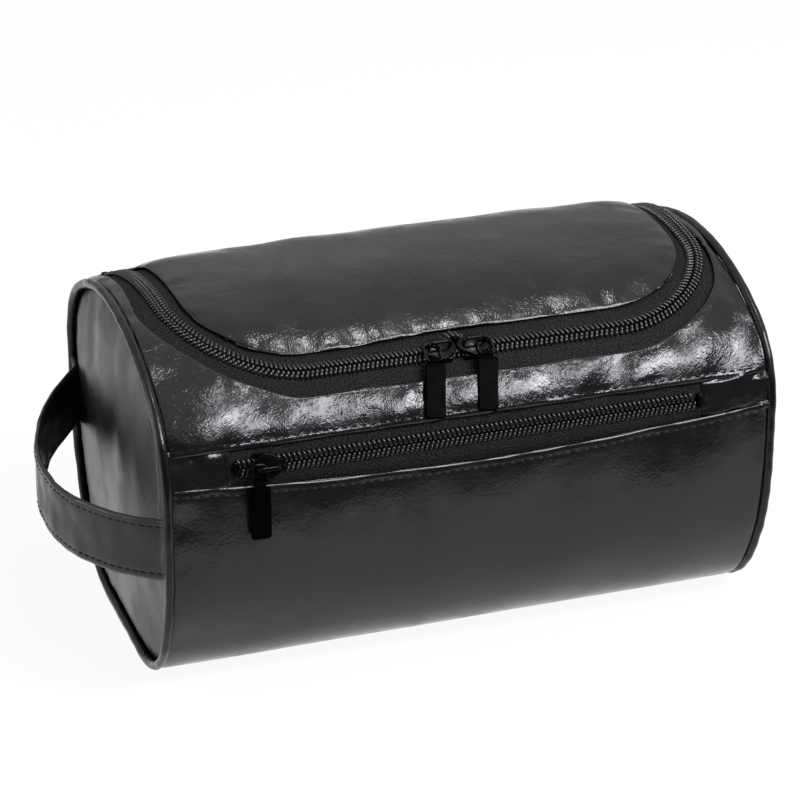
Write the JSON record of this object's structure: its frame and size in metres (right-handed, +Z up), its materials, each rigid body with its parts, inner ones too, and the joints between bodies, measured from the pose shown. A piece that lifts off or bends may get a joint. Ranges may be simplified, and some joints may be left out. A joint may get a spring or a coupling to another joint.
{
  "type": "toiletry bag",
  "caption": "Padded barrel-shaped toiletry bag with a zipped lid, a zipped front pocket and a side carry strap.",
  "frame": {"origin": "middle of the flat bottom that the bag rests on", "axes": "+X along the bag away from the handle, -Y the front with the pocket, +Z up"},
  "size_m": [0.2731, 0.1571, 0.1404],
  "materials": {
    "leather_gloss": "glossy, fine crinkled grain",
    "leather_satin": "satin, fine grain",
    "leather_piping": "satin, smooth",
    "zip_tape": "matte woven tape",
    "zip_coil": "satin nylon",
    "black_metal": "gloss black enamel",
    "black_matte": "matte black enamel",
    "foam": "open-cell foam sheet",
    "lining": "plain woven lining"
  },
  "bodies": {
    "bag": {"main_panel": "leather_gloss", "front_yoke": "leather_gloss", "pocket_end_tab_left": "leather_gloss", "pocket_end_tab_right": "leather_gloss", "left_end_panel": "leather_satin", "right_end_panel": "leather_satin", "left_piping": "leather_piping", "right_piping": "leather_piping", "front_padding": "foam", "body_padding": "foam", "left_end_padding": "foam", "right_end_padding": "foam", "body_lining": "lining", "left_end_lining": "lining", "right_end_lining": "lining", "pocket_lining": "lining", "pocket_tape_upper": "zip_tape", "pocket_tape_lower": "zip_tape", "pocket_coil_upper": "zip_coil", "pocket_coil_lower": "zip_coil", "pocket_zip_stops": "black_metal", "main_tape_body": "zip_tape", "main_coil_body": "zip_coil", "main_zip_stops": "black_metal", "handle_strap": "leather_satin"},
    "lid": {"lid_panel": "leather_gloss", "lid_padding": "foam", "lid_lining": "lining", "main_tape_lid": "zip_tape", "main_coil_lid": "zip_coil"},
    "left_slider_body": {"main_left_slider": "black_metal"},
    "left_link_body": {"main_left_link": "black_metal"},
    "left_pull_tab_body": {"main_left_pull_tab": "black_matte"},
    "right_slider_body": {"main_right_slider": "black_metal"},
    "right_link_body": {"main_right_link": "black_metal"},
    "right_pull_tab_body": {"main_right_pull_tab": "black_matte"},
    "pocket_slider_body": {"pocket_slider": "black_metal"},
    "pocket_link_body": {"pocket_link": "black_metal"},
    "pocket_pull_tab_body": {"pocket_pull_tab": "black_matte"}
  },
  "joints": [
    {"name": "lid_hinge", "type": "hinge", "parent": "bag", "child": "lid", "pos_m": [0, 0.0545, 0.12385], "axis": [-1, 0, 0], "range_deg": [0, 120]},
    {"name": "left_slider_slide", "type": "slide", "parent": "bag", "child": "left_slider_body", "axis": [-1, 0, 0], "range_m": [0, 0.045]},
    {"name": "left_link_hinge", "type": "hinge", "parent": "left_slider_body", "child": "left_link_body", "pos_m": [-0.0127, -0.05499, 0.12781], "axis": [-1, 0, 0], "range_deg": [0, 32]},
    {"name": "left_tab_hinge", "type": "hinge", "parent": "left_link_body", "child": "left_pull_tab_body", "pos_m": [-0.0127, -0.06127, 0.12371], "axis": [-1, 0, 0], "range_deg": [0, 100]},
    {"name": "right_slider_slide", "type": "slide", "parent": "bag", "child": "right_slider_body", "axis": [1, 0, 0], "range_m": [0, 0.05]},
    {"name": "right_link_hinge", "type": "hinge", "parent": "right_slider_body", "child": "right_link_body", "pos_m": [0.008, -0.05499, 0.12781], "axis": [-1, 0, 0], "range_deg": [0, 32]},
    {"name": "right_tab_hinge", "type": "hinge", "parent": "right_link_body", "child": "right_pull_tab_body", "pos_m": [0.008, -0.06127, 0.12371], "axis": [-1, 0, 0], "range_deg": [0, 100]},
    {"name": "pocket_slider_slide", "type": "slide", "parent": "bag", "child": "pocket_slider_body", "axis": [1, 0, 0], "range_m": [0, 0.1635]},
    {"name": "pocket_link_hinge", "type": "hinge", "parent": "pocket_slider_body", "child": "pocket_link_body", "pos_m": [-0.0861, -0.07759, 0.0997], "axis": [-1, 0, 0], "range_deg": [0, 32]},
    {"name": "pocket_tab_hinge", "type": "hinge", "parent": "pocket_link_body", "child": "pocket_pull_tab_body", "pos_m": [-0.0861, -0.07855, 0.09226], "axis": [-1, 0, 0], "range_deg": [-4, 100]}
  ]
}
